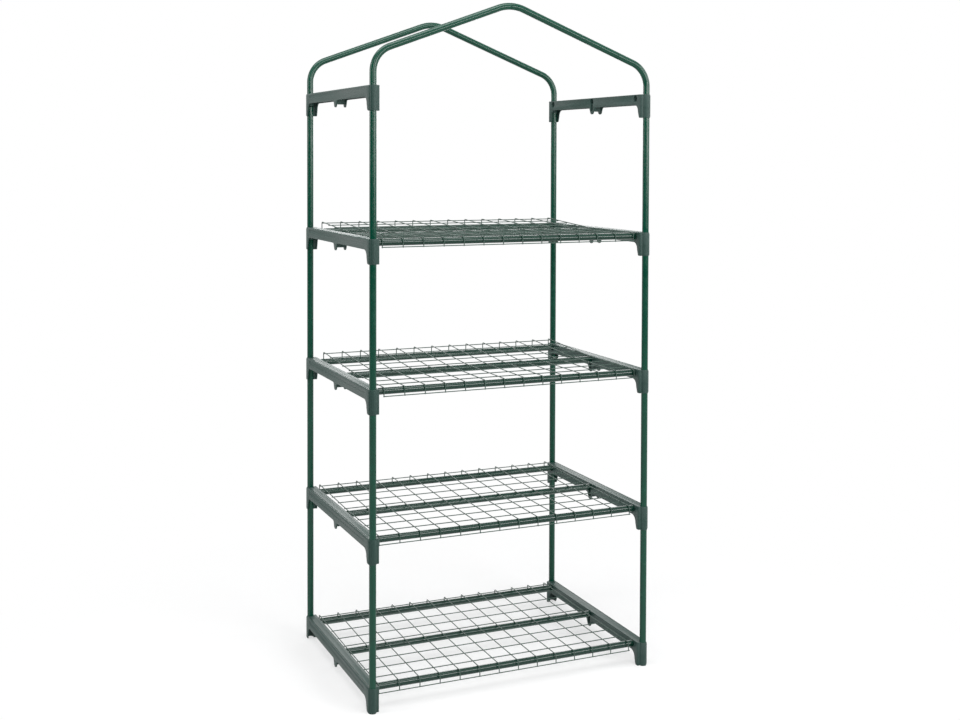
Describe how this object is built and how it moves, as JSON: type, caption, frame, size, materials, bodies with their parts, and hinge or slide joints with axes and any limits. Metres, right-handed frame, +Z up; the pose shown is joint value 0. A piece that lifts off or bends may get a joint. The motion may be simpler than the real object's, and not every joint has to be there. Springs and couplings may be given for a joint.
{
  "type": "portable greenhouse staging",
  "caption": "Slim upright frame of tubes pushed into moulded side brackets, with wire shelves laid on shelf tubes and a gabled tube roof above, open on all sides.",
  "frame": {"origin": "on the ground, at the middle of the footprint", "axes": "+Z up; X across the front, from left to right; +Y from the front to the rear"},
  "size_m": [0.717, 0.523, 1.6],
  "materials": {
    "bracket_plastic": "fine-grained moulded plastic, grey green",
    "upright_coat": "semi-gloss powder coat on steel tube, deep green",
    "shelf_tube_coat": "glossier powder coat on steel tube, dark green",
    "wire_coat": "thin dip coat on welded wire, grey"
  },
  "bodies": {
    "frame": {"bracket_left_1": "bracket_plastic", "bracket_right_1": "bracket_plastic", "bracket_left_2": "bracket_plastic", "bracket_right_2": "bracket_plastic", "bracket_left_3": "bracket_plastic", "bracket_right_3": "bracket_plastic", "bracket_left_4": "bracket_plastic", "bracket_right_4": "bracket_plastic", "bracket_left_5": "bracket_plastic", "bracket_right_5": "bracket_plastic", "upright_front_left_1": "upright_coat", "upright_rear_left_1": "upright_coat", "upright_front_right_1": "upright_coat", "upright_rear_right_1": "upright_coat", "upright_front_left_2": "upright_coat", "upright_rear_left_2": "upright_coat", "upright_front_right_2": "upright_coat", "upright_rear_right_2": "upright_coat", "upright_front_left_3": "upright_coat", "upright_rear_left_3": "upright_coat", "upright_front_right_3": "upright_coat", "upright_rear_right_3": "upright_coat", "upright_front_left_4": "upright_coat", "upright_rear_left_4": "upright_coat", "upright_front_right_4": "upright_coat", "upright_rear_right_4": "upright_coat", "shelf_tube_front_1": "shelf_tube_coat", "shelf_tube_middle_1": "shelf_tube_coat", "shelf_tube_rear_1": "shelf_tube_coat", "shelf_tube_front_2": "shelf_tube_coat", "shelf_tube_middle_2": "shelf_tube_coat", "shelf_tube_rear_2": "shelf_tube_coat", "shelf_tube_front_3": "shelf_tube_coat", "shelf_tube_middle_3": "shelf_tube_coat", "shelf_tube_rear_3": "shelf_tube_coat", "shelf_tube_front_4": "shelf_tube_coat", "shelf_tube_middle_4": "shelf_tube_coat", "shelf_tube_rear_4": "shelf_tube_coat", "roof_hoop_front_left": "upright_coat", "roof_hoop_rear_left": "upright_coat", "roof_hoop_front_right": "upright_coat", "roof_hoop_rear_right": "upright_coat"},
    "shelf_1": {"wire_shelf_1": "wire_coat"},
    "shelf_2": {"wire_shelf_2": "wire_coat"},
    "shelf_3": {"wire_shelf_3": "wire_coat"},
    "shelf_4": {"wire_shelf_4": "wire_coat"}
  },
  "joints": [
    {"name": "shelf_1_lift", "type": "slide", "parent": "frame", "child": "shelf_1", "axis": [0, 0, 1], "range_m": [0, 0.28]},
    {"name": "shelf_2_lift", "type": "slide", "parent": "frame", "child": "shelf_2", "axis": [0, 0, 1], "range_m": [0, 0.28]},
    {"name": "shelf_3_lift", "type": "slide", "parent": "frame", "child": "shelf_3", "axis": [0, 0, 1], "range_m": [0, 0.28]},
    {"name": "shelf_4_lift", "type": "slide", "parent": "frame", "child": "shelf_4", "axis": [0, 0, 1], "range_m": [0, 0.28]}
  ]
}
